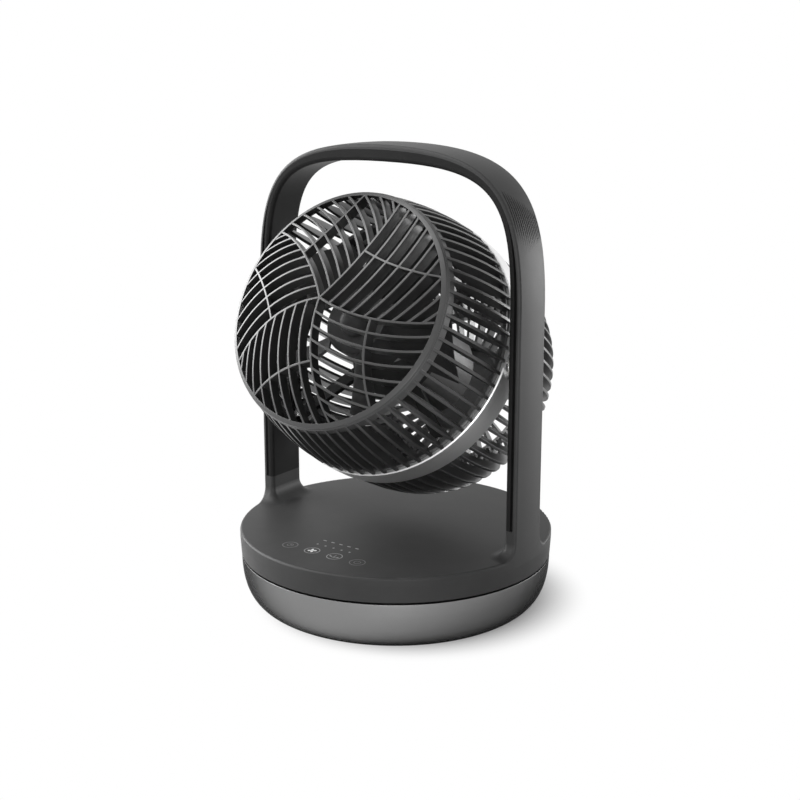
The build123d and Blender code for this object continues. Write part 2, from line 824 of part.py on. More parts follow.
trunnion_end_x = split_half - trunnion_end_gap
for side, name in ((1, "right"), (-1, "left")):
    with BuildPart() as pivot_bush:
        with BuildSketch(side_plane(side, boss_face_x)):
            Circle(pivot_bush_outer_r)
            Circle(pivot_bush_r, mode=Mode.SUBTRACT)
        extrude(amount=split_half - boss_face_x)
    save(pivot_bush.part, f"pivot_bush_{name}")

    with BuildPart() as pivot_pin:
        with BuildSketch(side_plane(side, trunnion_pad_x)):
            Circle(trunnion_flange_r)
            with Locations((pivot_screw_y, 0), (-pivot_screw_y, 0)):
                Circle(small_screw_r + screw_fit, mode=Mode.SUBTRACT)
        extrude(amount=trunnion_flange_t)
        with BuildSketch(side_plane(side, trunnion_pad_x)):
            Circle(trunnion_r)
        extrude(amount=trunnion_end_x - trunnion_pad_x)
        with BuildSketch(side_plane(side, trunnion_pad_x)):
            Circle(trunnion_spigot_r)
        extrude(amount=-trunnion_spigot)
        with BuildSketch(side_plane(side, trunnion_pad_x + trunnion_flange_t)):
            with Locations((pivot_screw_y, 0), (-pivot_screw_y, 0)):
                Circle(small_head_r + screw_fit)
        extrude(amount=-small_head_h / 2, mode=Mode.SUBTRACT)
    save(pivot_pin.part, f"pivot_pin_{name}")

with BuildPart() as friction_washers:
    for side in (1, -1):
        with BuildSketch(side_plane(side, trunnion_pad_x + trunnion_flange_t)):
            Circle(washer_r)
            Circle(trunnion_r + seat_fit, mode=Mode.SUBTRACT)
        extrude(amount=washer_t)
        with BuildSketch(side_plane(side, trunnion_pad_x + trunnion_flange_t)):
            with Locations((pivot_screw_y, 0), (-pivot_screw_y, 0)):
                Circle(small_head_r + screw_fit)
        extrude(amount=washer_t / 2, mode=Mode.SUBTRACT)
save(friction_washers.part, "friction_washers")

pivot_seats = []
for side in (1, -1):
    for offset_y in (pivot_screw_y, -pivot_screw_y):
        seat_x = trunnion_pad_x + trunnion_flange_t - small_head_h / 2
        pivot_seats.append(
            Plane(origin=(side * seat_x, offset_y, pivot_z), x_dir=(0, side, 0), z_dir=(side, 0, 0))
        )
save(screw_group(pivot_seats, small_screw_r, pivot_screw_length, small_head_r, small_head_h), "pivot_screws")

# Head: metal band that carries the pivots, the guards and the motor bracket
lug_points = polar_points(band_inner_r - lug_depth / 2, lug_count, lug_start)

with BuildPart() as center_ring:
    with BuildSketch(head_section):
        ring_section(band_inner_r, band_r, band_back, band_front)
    revolve(axis=head_axis)
    band_edges = center_ring.edges().filter_by(GeomType.CIRCLE)
    chamfer(band_edges.filter_by(lambda e: abs(e.radius - band_r) < 0.01), band_chamfer)
    with BuildSketch(head_plane.offset(lug_face_s - lug_t)):
        with PolarLocations(band_inner_r - lug_depth / 2 + band_wall / 4, lug_count, lug_start):
            Rectangle(lug_depth + band_wall / 2, lug_width)
        with Locations(*lug_points):
            Circle(screw_r + screw_fit, mode=Mode.SUBTRACT)
    extrude(amount=lug_t)
    for side in (1, -1):
        with BuildSketch(side_plane(side, band_inner_r + band_wall / 2)):
            Circle(trunnion_pad_r)
        extrude(amount=trunnion_pad_x - band_inner_r - band_wall / 2)
        with BuildSketch(side_plane(side, trunnion_pad_x)):
            Circle(trunnion_spigot_r + seat_fit)
            with Locations((pivot_screw_y, 0), (-pivot_screw_y, 0)):
                Circle(small_screw_r + screw_fit)
        extrude(amount=-trunnion_spigot - seat_fit, mode=Mode.SUBTRACT)
    with BuildSketch(head_section):
        for low, high in ((band_front, band_front + trunnion_pad_r), (band_back - trunnion_pad_r, band_back)):
            ring_section(band_inner_r, trunnion_pad_x + band_wall, low, high)
    revolve(axis=head_axis, mode=Mode.SUBTRACT)
save(center_ring.part, "center_ring")

# Front guard: a cone of slats that stand proud of a skirt behind the rim, and a collar that plugs into the band
slat_turn = 360 / slat_count
with BuildPart() as front_slat:
    with BuildSketch(head_section):
        with BuildLine():
            outer = ThreePointArc(
                (lip_r - ring_inset, lip_s + slat_root),
                (guard_middle_r, guard_middle_s),
                (guard_back_r, guard_back_s),
            )
            inner = ThreePointArc(
                (collar_r - collar_t / 2, guard_back_s),
                (guard_middle_r - slat_depth, guard_middle_s),
                (lip_r - slat_tip_depth, lip_s + slat_root),
            )
            Line(outer @ 1, inner @ 0)
            Line(inner @ 1, outer @ 0)
        make_face()
    extrude(amount=slat_t / 2, both=True)

with BuildPart() as front_guard:
    with BuildSketch(head_section):
        ring_section(collar_r - collar_t, collar_r, band_front - collar_length, guard_back_s + collar_t)
        with BuildLine():
            Polyline(
                (rim_seat_r, rim_seat_s),
                (lip_r, lip_s),
                (lip_r - lip_step, lip_s - lip_step / 2),
                (guard_front_r - skirt_inset, guard_front_s),
                (guard_front_r - rim_t, guard_front_s),
                (rim_r - rim_t / 2, rim_s - rim_t),
                (rim_r - rim_t / 2, rim_seat_s),
                close=True,
            )
        make_face()
    revolve(axis=head_axis)
    add([front_slat.part.rotate(head_axis, slat_turn * (i + 0.5)) for i in range(slat_count)])
save(front_guard.part.rotate(head_axis, slat_turn * (slat_phase - 0.5)), "front_guard")


# Pinwheel grille: five curved ribs, each with a row of ribs set off along its neighbour
def rib_point(sector, along):
    """Point on a main rib, a length along it from the middle."""
    heading = radians(360 / rib_sectors * sector - rib_lead)
    turn = along / rib_curve_r
    x = rib_curve_r * (sin(heading + turn) - sin(heading))
    y = rib_curve_r * (cos(heading) - cos(heading + turn))
    return x, y


def rib_band(sector, start):
    """Plan of a copy of a main rib that begins at a point and reaches past the rim."""
    heading = 360 / rib_sectors * sector - rib_lead
    centre_x = start[0] - rib_curve_r * sin(radians(heading))
    centre_y = start[1] + rib_curve_r * cos(radians(heading))
    sweep_angle = degrees(2 * asin(rim_r / (2 * rib_curve_r)))
    with BuildLine() as outline:
        near = CenterArc((centre_x, centre_y), rib_curve_r - rib_width / 2, heading - 90, sweep_angle)
        far = CenterArc((centre_x, centre_y), rib_curve_r + rib_width / 2, heading - 90, sweep_angle)
        Line(near @ 0, far @ 0)
        Line(near @ 1, far @ 1)
    make_face(outline.edges())


grille_back_s = rim_s - rib_depth
grille_rim_r = rim_r - rim_t / 2 - collar_fit
rim_face_r = dome_r + rim_bead

with BuildPart() as front_grille:
    with BuildSketch(head_plane.offset(grille_back_s)):
        for sector in range(rib_sectors):
            rib_band(sector, (0, 0))
            rib_band(sector - 1, rib_point(sector, brace_at))
            for i in range(1, rib_count + 1):
                rib_band(sector, rib_point(sector - 1, i * rib_pitch))
        Circle(grille_rim_r - rim_overlap, mode=Mode.INTERSECT)
    extrude(amount=dome_apex_s - grille_back_s)
    with BuildSketch(head_section):
        with BuildLine():
            dome_span = -degrees(asin(rim_r / dome_r))
            crown = CenterArc((0, dome_apex_s - dome_r), dome_r, 90, dome_span)
            back = CenterArc((0, dome_apex_s - dome_r), dome_r - rib_depth, 90, dome_span)
            Line(crown @ 0, back @ 0)
            Line(crown @ 1, back @ 1)
        make_face()
    revolve(axis=head_axis, mode=Mode.INTERSECT)
    with BuildSketch(head_section):
        with BuildLine():
            rim_start = degrees(acos(rim_r / rim_face_r))
            rim_span = degrees(acos(rim_inner_r / rim_face_r)) - rim_start
            rim_face = CenterArc((0, dome_apex_s - dome_r), rim_face_r, rim_start, rim_span)
            Polyline(
                rim_face @ 1,
                (rim_inner_r, rim_s - rim_t),
                (grille_rim_r, rim_s - rim_t),
                (grille_rim_r, rim_seat_s),
                (rim_seat_r, rim_seat_s),
                rim_face @ 0,
            )
        make_face()
    revolve(axis=head_axis)
save(front_grille.part, "front_grille")


# Rear guard: slats that curve round the back to a hub with a cap
def rear_area(edge_r, end_s, mode=Mode.ADD):
    """Half section behind the band, inside one curve of the rear guard."""
    with BuildLine() as outline:
        curve = Bezier(
            (edge_r, rear_start_s),
            (edge_r, rear_start_s + rear_fullness * (end_s - rear_start_s)),
            (rear_fullness * edge_r, end_s),
            (0, end_s),
        )
        Polyline(curve @ 1, (0, rear_start_s), curve @ 0)
    make_face(outline.edges(), mode=mode)


def rear_slat(inner_r):
    """One slat of the rear guard, from the band in to a radius."""
    with BuildPart() as slat:
        with BuildSketch(head_section):
            rear_area(rear_r, rear_end_s)
            rear_area(rear_r - slat_depth, rear_end_s + slat_depth, mode=Mode.SUBTRACT)
            ring_section(0, inner_r, rear_end_s, rear_start_s, mode=Mode.SUBTRACT)
        extrude(amount=slat_t / 2, both=True)
    return slat.part


long_slat = rear_slat(rear_hub_r - rear_hub_width / 2)
short_slat = rear_slat(rear_ring_r)
slat_set = [
    (short_slat if i % 2 else long_slat).rotate(head_axis, 360 * i / slat_count) for i in range(slat_count)
]

with BuildPart() as rear_guard:
    with BuildSketch(head_section):
        rear_area(rear_r - ring_inset, rear_end_s + ring_inset)
        rear_area(
            rear_r - slat_depth + ring_inset, rear_end_s + slat_depth - ring_inset, mode=Mode.SUBTRACT
        )
        ring_section(0, rear_hub_r - rear_hub_width, rear_end_s, rear_start_s, mode=Mode.SUBTRACT)
        for inner_r, outer_r in (
            (rear_hub_r, rear_ring_r - rear_ring_width / 2),
            (rear_ring_r + rear_ring_width / 2, rear_r),
        ):
            ring_section(inner_r, outer_r, rear_end_s, rear_start_s, mode=Mode.SUBTRACT)
        ring_section(collar_r - collar_t, collar_r, rear_start_s - collar_t, band_back + collar_length)
    revolve(axis=head_axis)
    add(slat_set)
save(rear_guard.part, "rear_guard")

rear_cap_r = rear_hub_r - rear_hub_width - collar_fit
with BuildPart() as rear_cap:
    with BuildSketch(head_section):
        rear_area(rear_r, rear_end_s)
        rear_area(rear_r, rear_end_s + rear_cap_t, mode=Mode.SUBTRACT)
        ring_section(rear_cap_r, rear_r, rear_end_s, rear_start_s, mode=Mode.SUBTRACT)
    revolve(axis=head_axis)
save(rear_cap.part, "rear_cap")

# Motor bracket with four spokes on the band's lugs
spoke_reach = band_inner_r - spoke_gap
motor_screw_points = polar_points(motor_screw_ring_r, lug_count)

with BuildPart() as motor_bracket:
    with BuildSketch(head_plane.offset(-bracket_t)):
        Circle(bracket_r)
    extrude(amount=bracket_t)
    with BuildSketch(head_plane.offset(lug_face_s)):
        with PolarLocations(spoke_reach / 2, lug_count, lug_start):
            Rectangle(spoke_reach, spoke_width)
        Circle(spoke_reach, mode=Mode.INTERSECT)
        Circle(bracket_r - spoke_width, mode=Mode.SUBTRACT)
    extrude(amount=spoke_face_s - lug_face_s)
    with BuildSketch(head_plane.offset(-bracket_t)):
        Circle(bracket_bore_r)
        with Locations(*motor_screw_points, *lug_points):
            Circle(screw_r + screw_fit)
    extrude(amount=bracket_t + spoke_face_s, mode=Mode.SUBTRACT)
save(motor_bracket.part, "motor_bracket")
bracket_seats = head_seats(lug_points, spoke_face_s)
bracket_screw_length = spoke_face_s + lug_t - tip_gap
save(screw_group(bracket_seats, screw_r, bracket_screw_length, screw_head_r, screw_head_h), "bracket_screws")
motor_seats = head_seats(motor_screw_points, lug_face_s)
motor_screw_length = bracket_t + 2 * motor_wall
save(screw_group(motor_seats, screw_r, motor_screw_length, screw_head_r, screw_head_h), "motor_screws")


# Motor: two cup housings, ball bearings, stator, rotor and shaft
def housing(front, back, wall_at_front):
    """Motor half housing: a cup with a bearing boss in its end wall."""
    wall_low = front - 2 * motor_wall if wall_at_front else back
    wall_high = front if wall_at_front else back + 2 * motor_wall
    boss_low = front - 2 * motor_wall - bearing_w if wall_at_front else back
    boss_high = front if wall_at_front else back + 2 * motor_wall + bearing_w
    boss_r = bearing_r + bearing_boss_wall
    with BuildPart() as cup:
        with BuildSketch(head_section):
            ring_section(motor_r - motor_wall, motor_r, back, front)
            ring_section(0, motor_r, wall_low, wall_high)
            ring_section(0, boss_r, boss_low, boss_high)
            ring_section(0, shaft_r + housing_shaft_gap, boss_low, boss_high, mode=Mode.SUBTRACT)
            if wall_at_front:
                ring_section(0, bearing_r + seat_fit, boss_low, boss_low + bearing_w, mode=Mode.SUBTRACT)
            else:
                ring_section(0, bearing_r + seat_fit, boss_high - bearing_w, boss_high, mode=Mode.SUBTRACT)
        revolve(axis=head_axis)
        if wall_at_front:
            with BuildSketch(head_plane.offset(front)):
                with Locations(*motor_screw_points):
                    Circle(screw_r + screw_fit)
            extrude(amount=-2 * motor_wall, mode=Mode.SUBTRACT)
    return cup.part


save(housing(motor_front_s, motor_middle_s, True), "motor_front_housing")
save(housing(motor_middle_s, motor_back_s, False), "motor_rear_housing")
front_bearing_s = motor_front_s - 2 * motor_wall - bearing_w
rear_bearing_s = motor_back_s + 2 * motor_wall
bearing_front = head_tube(shaft_r + running_fit, bearing_r, front_bearing_s, front_bearing_s + bearing_w)
save(bearing_front, "bearing_front")
save(head_tube(shaft_r + running_fit, bearing_r, rear_bearing_s, rear_bearing_s + bearing_w), "bearing_rear")

core_back_s = motor_middle_s - core_length / 2
core_front_s = motor_middle_s + core_length / 2
with BuildPart() as motor_stator:
    with BuildSketch(head_section):
        ring_section(stator_r, motor_r - motor_wall - seat_fit, core_back_s, core_front_s)
        ring_section(
            stator_r + coil_inset,
            motor_r - motor_wall - coil_inset,
            core_back_s - coil_overhang,
            core_front_s + coil_overhang,
        )
    revolve(axis=head_axis)
save(motor_stator.part, "motor_stator")
save(head_tube(shaft_r, rotor_r, core_back_s, core_front_s), "motor_rotor")
save(head_tube(0, shaft_r, rear_bearing_s, shaft_front_s), "motor_shaft")


# Fan blade: a cup hub with five cambered, twisted blades, held by a nut
def blade_section(radius, chord, pitch):
    """Cambered section of a blade, across the radius at a pitch angle."""
    around = head_up * cos(radians(pitch)) + head_dir * sin(radians(pitch))
    origin = pivot + Vector(radius, 0, 0) + head_dir * blade_s
    with BuildSketch(Plane(origin=origin, x_dir=around, z_dir=(1, 0, 0))) as section:
        with BuildLine():
            half = chord / 2
            low = ThreePointArc((-half, 0), (0, blade_camber), (half, 0))
            high = ThreePointArc((-half, blade_t), (0, blade_camber + blade_t), (half, blade_t))
            Line(low @ 0, high @ 0)
            Line(low @ 1, high @ 1)
        make_face()
    return section.sketch


with BuildPart() as blade:
    root = blade_section(hub_r - hub_wall / 2, root_chord, root_pitch)
    tip = blade_section(blade_tip_r, tip_chord, tip_pitch)
    loft([root.face(), tip.face()])

with BuildPart() as impeller:
    with BuildSketch(head_section):
        ring_section(hub_r - hub_wall, hub_r, hub_back_s, hub_front_s)
        ring_section(0, hub_r, hub_front_s - hub_wall, hub_front_s)
        ring_section(0, hub_boss_r, hub_back_s, hub_front_s)
        ring_section(0, shaft_r, hub_back_s, hub_front_s, mode=Mode.SUBTRACT)
    revolve(axis=head_axis)
    add([blade.part.rotate(head_axis, 360 * i / blade_count) for i in range(blade_count)])
save(impeller.part, "impeller")

with BuildPart() as blade_nut:
    with BuildSketch(head_section):
        with BuildLine():
            Line((0, hub_front_s), (nut_r, hub_front_s))
            nose = Bezier(
                (nut_r, hub_front_s),
                (nut_r, hub_front_s + nut_length / 2),
                (nut_r / 2, hub_front_s + nut_length),
                (0, hub_front_s + nut_length),
            )
            Line(nose @ 1, (0, hub_front_s))
        make_face()
        ring_section(0, shaft_r, hub_front_s, shaft_front_s, mode=Mode.SUBTRACT)
    revolve(axis=head_axis)
save(blade_nut.part, "blade_nut")
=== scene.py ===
"""Looks of a table-top air circulator: finishes, printed touch marks, stage, lights and camera.

Metres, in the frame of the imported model: +Z up, the fan blows towards -Y.
"""
import json
from math import atan2, cos, pi, radians, sin

import bmesh
import bpy
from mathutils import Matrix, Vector


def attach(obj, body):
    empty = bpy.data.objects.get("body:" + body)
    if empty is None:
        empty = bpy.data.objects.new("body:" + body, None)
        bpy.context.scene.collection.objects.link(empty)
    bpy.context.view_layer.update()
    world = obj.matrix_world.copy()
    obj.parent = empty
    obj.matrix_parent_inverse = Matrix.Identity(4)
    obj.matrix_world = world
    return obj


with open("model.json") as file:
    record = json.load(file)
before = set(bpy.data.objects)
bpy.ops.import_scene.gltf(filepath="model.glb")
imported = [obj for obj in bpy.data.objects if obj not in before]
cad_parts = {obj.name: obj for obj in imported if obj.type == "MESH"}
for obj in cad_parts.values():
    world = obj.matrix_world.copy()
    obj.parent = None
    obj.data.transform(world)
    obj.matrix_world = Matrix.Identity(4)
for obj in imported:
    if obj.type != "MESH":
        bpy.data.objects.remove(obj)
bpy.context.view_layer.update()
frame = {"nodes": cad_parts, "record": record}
nodes = frame["nodes"]
mm = 0.001

# Camera
camera_place = (0.65454, -0.90074, 0.45393)
camera_target = (0.0028, 0.0020, 0.1661)
camera_lens = 65.47
camera_sensor = 36.0

# Lamps: azimuth from the front towards +X, elevation, distance, width, height, watts
lamp_target = Vector((0.0, 0.0, 0.15))
lamps = {
    "key_lamp": (-75, 18, 1.6, 1.7, 1.0, 36.0),
    "top_lamp": (-42, 63, 1.6, 1.0, 1.0, 15.0),
    "back_lamp": (148, 1, 1.6, 0.7, 0.5, 13.0),
    "front_lamp": (36, 2, 1.7, 0.7, 0.3, 9.0),
}
fill_strength = 0.1

# Stage: the fades are radii from the floor's own middle
floor_r = 3.0
floor_sides = 96
floor_level = 0.92
floor_rough = 0.9
floor_place = (0.004, 0.021, 0)
floor_fade = (0.085, 0.145)
mirror_fade = (0.16, 0.45)

# Grain of the finishes: the span of a noise that is used, waves per metre, detail and depth of the bump
noise_low = 0.3
noise_high = 0.7
cloud_scale = 45.0
cloud_detail = 3.0
texture_detail = 2.0
texture_bump = 0.6
line_detail = 4.0
line_bump = 0.4

# Edge rounding
edge_width = 0.25 * mm
edge_segments = 2
weld_gap = 0.002 * mm
crease_angle = radians(32)
rounded = ("foot_shell", "front_guard", "front_grille", "rear_guard", "impeller")

# Touch marks on the deck: a row of ringed keys, a row of dots and a row of dashes
deck_middle = (60 * mm, 120 * mm)
print_height = 0.04 * mm
print_rough = (0.45, 0.55)
print_gloss = 0.3
mark_line = 0.6 * mm
key_count = 4
key_r = 6.25 * mm
key_pitch = 21.7 * mm
key_x = -1.8 * mm
key_y = -91.2 * mm
lamp_count = 5
lamp_pitch = 7.8 * mm
lamp_x = -2.7 * mm
dash_y = -68.2 * mm
dot_y = -77.5 * mm
dash_length = 3.0 * mm
dash_width = 1.3 * mm
dot_r = 0.85 * mm

# Signs in the keys: lengths as shares of the key's radius, ends of an arc in turns of the circle
sign_line = 0.8 * mark_line
clock_r = 0.42
clock_hands = ((0.0, 0.3), (0.24, 0.0))
petal_count = 4
petal_turn = radians(20)
petal_length = 0.62
petal_width = 0.34
petal_root = 0.35
swing_r = 0.8
swing_rise = 0.42
swing_ends = (0.64, 0.86)
swing_bar = (0.4, -0.18)
arrow_length = 0.3
arrow_width = 0.34
power_r = 0.45
power_ends = (0.33, 1.17)
power_bar = (0.12, 0.55)

# The head's axis, for finishes that follow it
spin = next(joint for joint in frame["record"]["behaviour"]["joints"] if joint["name"] == "blade_spin")
head_turn = atan2(-spin["axis"][1], spin["axis"][2])
around_head = (60, 60, 1)


# Shader helpers
def grey(level):
    """Neutral colour."""
    return (level, level, level)


def new_material(name):
    """A node material with its tree and its shader."""
    material = bpy.data.materials.new(name)
    material.use_nodes = True
    return material, material.node_tree, material.node_tree.nodes["Principled BSDF"]


def grain(tree, scale, detail, stretch=(1, 1, 1), turn=0.0):
    """Noise in waves per metre over the piece's own coordinates, turned about X and then stretched."""
    place = tree.nodes.new("ShaderNodeTexCoord")
    mapping = tree.nodes.new("ShaderNodeMapping")
    mapping.vector_type = "TEXTURE"
    mapping.inputs["Rotation"].default_value = (turn, 0, 0)
    mapping.inputs["Scale"].default_value = stretch
    noise = tree.nodes.new("ShaderNodeTexNoise")
    noise.inputs["Scale"].default_value = scale
    noise.inputs["Detail"].default_value = detail
    tree.links.new(place.outputs["Object"], mapping.inputs["Vector"])
    tree.links.new(mapping.outputs["Vector"], noise.inputs["Vector"])
    return noise.outputs["Fac"]


def spread(tree, source, low, high):
    """Values of a noise spread over a range."""
    span = tree.nodes.new("ShaderNodeMapRange")
    span.inputs["From Min"].default_value = noise_low
    span.inputs["From Max"].default_value = noise_high
    span.inputs["To Min"].default_value = low
    span.inputs["To Max"].default_value = high
    tree.links.new(source, span.inputs["Value"])
    return span.outputs["Result"]


def tint(tree, source, dark, light):
    """Colours of a noise, from dark to light."""
    colours = tree.nodes.new("ShaderNodeValToRGB")
    first, last = colours.color_ramp.elements
    first.position = noise_low
    last.position = noise_high
    first.color = (*dark, 1)
    last.color = (*light, 1)
    tree.links.new(source, colours.inputs["Fac"])
    return colours.outputs["Color"]


def emboss(tree, source, shader, height, strength):
    """Bump of a noise on the shader's normal."""
    bump = tree.nodes.new("ShaderNodeBump")
    bump.inputs["Strength"].default_value = strength
    bump.inputs["Distance"].default_value = height
    tree.links.new(source, bump.inputs["Height"])
    tree.links.new(bump.outputs["Normal"], shader.inputs["Normal"])


def moulded(name, dark, light, rough, gloss, texture=2600.0, height=0.012 * mm):
    """Moulded plastic with a fine spark-eroded texture and a faint cloud in its colour."""
    material, tree, shader = new_material(name)
    cloud = grain(tree, cloud_scale, cloud_detail)
    fine = grain(tree, texture, texture_detail)
    tree.links.new(tint(tree, cloud, dark, light), shader.inputs["Base Color"])
    tree.links.new(spread(tree, fine, *rough), shader.inputs["Roughness"])
    shader.inputs["Specular IOR Level"].default_value = gloss
    emboss(tree, fine, shader, height, texture_bump)
    return material


def metal(name, dark, light, rough, scale=900.0, height=0.01 * mm, stretch=(1, 1, 1), turn=0.0, rim=1.0):
    """Metal or metallic paint with a grain, which a stretch turns into brushed lines.

    rim is the gloss where the surface turns away.
    """
    material, tree, shader = new_material(name)
    lines = grain(tree, scale, line_detail, stretch, turn)
    tree.links.new(tint(tree, lines, dark, light), shader.inputs["Base Color"])
    tree.links.new(spread(tree, lines, *rough), shader.inputs["Roughness"])
    shader.inputs["Metallic"].default_value = 1.0
    shader.inputs["Specular Tint"].default_value = (*grey(rim), 1)
    emboss(tree, lines, shader, height, line_bump)
    return material


# Finishes, one for each material slot of the record, and one more each for the guards and the arch's
# frame, which are copies of the charcoal plastic made darker as painted shade, the guards' copy also
# glossier
finishes = {
    "charcoal_plastic": moulded("charcoal_plastic", grey(0.028), grey(0.033), (0.47, 0.55), 0.29),
    # The arch's frame: the charcoal plastic darkened and dulled, painted shade for the shaded front and
    # inner faces of the legs
    "shaded_frame_plastic": moulded("shaded_frame_plastic", grey(0.014), grey(0.017), (0.4, 0.48), 0.08),
    # The guards: the charcoal plastic made darker as painted shade for the shade between the ribs, and
    # glossier as their own finish
    "guard_gloss_and_shade_plastic": moulded("guard_gloss_and_shade_plastic", grey(0.019), grey(0.022), (0.33, 0.39), 0.75),
    "foot_paint": metal(
        "foot_paint", grey(0.225), grey(0.262), (0.31, 0.39), scale=5200.0, height=0.003 * mm, rim=0.0
    ),
    "black_plastic": moulded("black_plastic", grey(0.010), grey(0.014), (0.48, 0.6), 0.25),
    "blade_plastic": moulded(
        "blade_plastic", grey(0.045), grey(0.052), (0.44, 0.52), 0.2, texture=700.0, height=0.004 * mm
    ),
    "band_metal": metal(
        "band_metal", grey(0.70), grey(0.78), (0.4, 0.5), scale=5000.0, height=0.004 * mm,
        stretch=around_head, turn=head_turn,
    ),
    "motor_metal": metal("motor_metal", grey(0.13), grey(0.16), (0.42, 0.56), scale=420.0),
    "steel": metal("steel", grey(0.5), grey(0.62), (0.2, 0.32), scale=1400.0),
    "core_iron": metal(
        "core_iron", (0.10, 0.09, 0.085), (0.22, 0.2, 0.19), (0.4, 0.55), scale=1400.0,
        stretch=around_head, turn=head_turn,
    ),
    "bearing_plastic": moulded(
        "bearing_plastic", (0.68, 0.68, 0.64), (0.74, 0.74, 0.7), (0.38, 0.46), 0.4, texture=900.0
    ),
    "board": moulded("board", (0.012, 0.075, 0.03), (0.02, 0.11, 0.045), (0.28, 0.4), 0.5, texture=500.0),
    "rubber": moulded("rubber", grey(0.018), grey(0.026), (0.7, 0.85), 0.2, texture=1400.0),
}
finish_of = {part["node"]: part["material_slot"] for part in frame["record"]["subparts"]}
# Guards take the darker, glossier copy of the charcoal; the darker tone is painted shade
for guard in ("front_guard", "front_grille", "rear_guard"):
    finish_of[guard] = "guard_gloss_and_shade_plastic"
# The arch's frame takes the darker copy of the charcoal, painted shade
finish_of["arch_frame"] = "shaded_frame_plastic"


def round_edges(node):
    """Round the sharp edges of a node, with its large faces kept flat in their shading."""
    for face in node.data.polygons:
        face.use_smooth = True
    weld = node.modifiers.new("weld", "WELD")
    weld.merge_threshold = weld_gap
    edge = node.modifiers.new("edge", "BEVEL")
    edge.width = edge_width
    edge.segments = edge_segments
    edge.limit_method = "ANGLE"
    edge.angle_limit = crease_angle
    edge.use_clamp_overlap = False
    shade = node.modifiers.new("shade", "WEIGHTED_NORMAL")
    shade.keep_sharp = False


for name, node in nodes.items():
    node.data.materials.clear()
    node.data.materials.append(finishes[finish_of[name]])
    if name in rounded:
        round_edges(node)


# Touch marks
def deck_top_z():
    """Height of the deck's flat top, away from the leg stubs."""
    reach_x, reach_y = deck_middle
    places = [v.co for v in nodes["deck_shell"].data.vertices]
    return max(p.z for p in places if abs(p.x) < reach_x and abs(p.y) < reach_y)


def mark_piece(name, outlines, material):
    """Printed mark on the deck: flat outlines, each raised by the height of the print."""
    deck_top = deck_top_z()
    bm = bmesh.new()
    for outline in outlines:
        bottom = [bm.verts.new((x, y, deck_top)) for x, y in outline]
        top = [bm.verts.new((x, y, deck_top + print_height)) for x, y in outline]
        bm.faces.new(top)
        bm.faces.new(list(reversed(bottom)))
        for i in range(len(outline)):
            j = (i + 1) % len(outline)
            bm.faces.new((bottom[i], bottom[j], top[j], top[i]))
    mesh = bpy.data.meshes.new(name)
    bm.to_mesh(mesh)
    bm.free()
    piece = bpy.data.objects.new(name, mesh)
    piece.data.materials.append(material)
    bpy.context.scene.collection.objects.link(piece)
    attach(piece, "deck")


def row(middle, pitch, count):
    """Places along a row, from left to right."""
    return [middle + (i - (count - 1) / 2) * pitch for i in range(count)]


def arc(cx, cy, radius, start, end, count):
    """Points along an arc, angles in turns of the circle."""
    angles = [2 * pi * (start + (end - start) * i / count) for i in range(count + 1)]
    return [(cx + radius * cos(a), cy + radius * sin(a)) for a in angles]


def ring_strips(cx, cy, radius, width, start=0.0, end=1.0, count=48):
    """Ring as short four-cornered pieces, so that each outline is a simple one."""
    inner = arc(cx, cy, radius - width, start, end, count)
    outer = arc(cx, cy, radius, start, end, count)
    return [[inner[i], outer[i], outer[i + 1], inner[i + 1]] for i in range(count)]


def disc(cx, cy, radius, count=20):
    """Filled round dot."""
    return arc(cx, cy, radius, 0.0, 1.0 - 1.0 / count, count - 1)


def bar(x0, y0, x1, y1, width):
    """Straight stroke between two points."""
    along = Vector((x1 - x0, y1 - y0)).normalized() * width / 2
    return [
        (x0 + along.y, y0 - along.x), (x1 + along.y, y1 - along.x),
        (x1 - along.y, y1 + along.x), (x0 - along.y, y0 + along.x),
    ]


def petal(cx, cy, turn, length, width, count=10):
    """One blade of the fan sign, leaving the middle of its ring: full on one side, slim on the other."""
    points = []
    for i in range(count + 1):
        t = i / count
        points.append((t * length, width * sin(pi * t) * (petal_root + (1 - petal_root) * t)))
    for i in range(count - 1, 0, -1):
        t = i / count
        points.append((t * length, -petal_root * width * sin(pi * t)))
    c, s = cos(turn), sin(turn)
    return [(cx + x * c - y * s, cy + x * s + y * c) for x, y in points]


def arrow_head(cx, cy, radius, turn, way, length, width):
    """Tip of an arrow at one end of an arc: way is 1 along the arc and -1 back along it."""
    c, s = cos(2 * pi * turn), sin(2 * pi * turn)
    tip = (cx + radius * c - way * length * s, cy + radius * s + way * length * c)
    outer = (cx + (radius + way * width / 2) * c, cy + (radius + way * width / 2) * s)
    inner = (cx + (radius - way * width / 2) * c, cy + (radius - way * width / 2) * s)
    return [outer, tip, inner]


print_faint = moulded("print_faint", grey(0.15), grey(0.18), print_rough, print_gloss)
print_grey = moulded("print_grey", grey(0.3), grey(0.34), print_rough, print_gloss)
print_white = moulded("print_white", grey(0.72), grey(0.78), print_rough, print_gloss)
timer_x, fan_x, swing_x, power_x = row(key_x, key_pitch, key_count)

timer = ring_strips(timer_x, key_y, key_r, mark_line)
timer += ring_strips(timer_x, key_y, clock_r * key_r, sign_line, count=28)
for hand_x, hand_y in clock_hands:
    timer.append(bar(timer_x, key_y, timer_x + hand_x * key_r, key_y + hand_y * key_r, sign_line))
mark_piece("timer_key_mark", timer, print_faint)

mark_piece("fan_key_ring", ring_strips(fan_x, key_y, key_r, mark_line), print_grey)
turns = [petal_turn + 2 * pi * i / petal_count for i in range(petal_count)]
blades = [petal(fan_x, key_y, turn, petal_length * key_r, petal_width * key_r) for turn in turns]
mark_piece("fan_key_sign", blades, print_white)

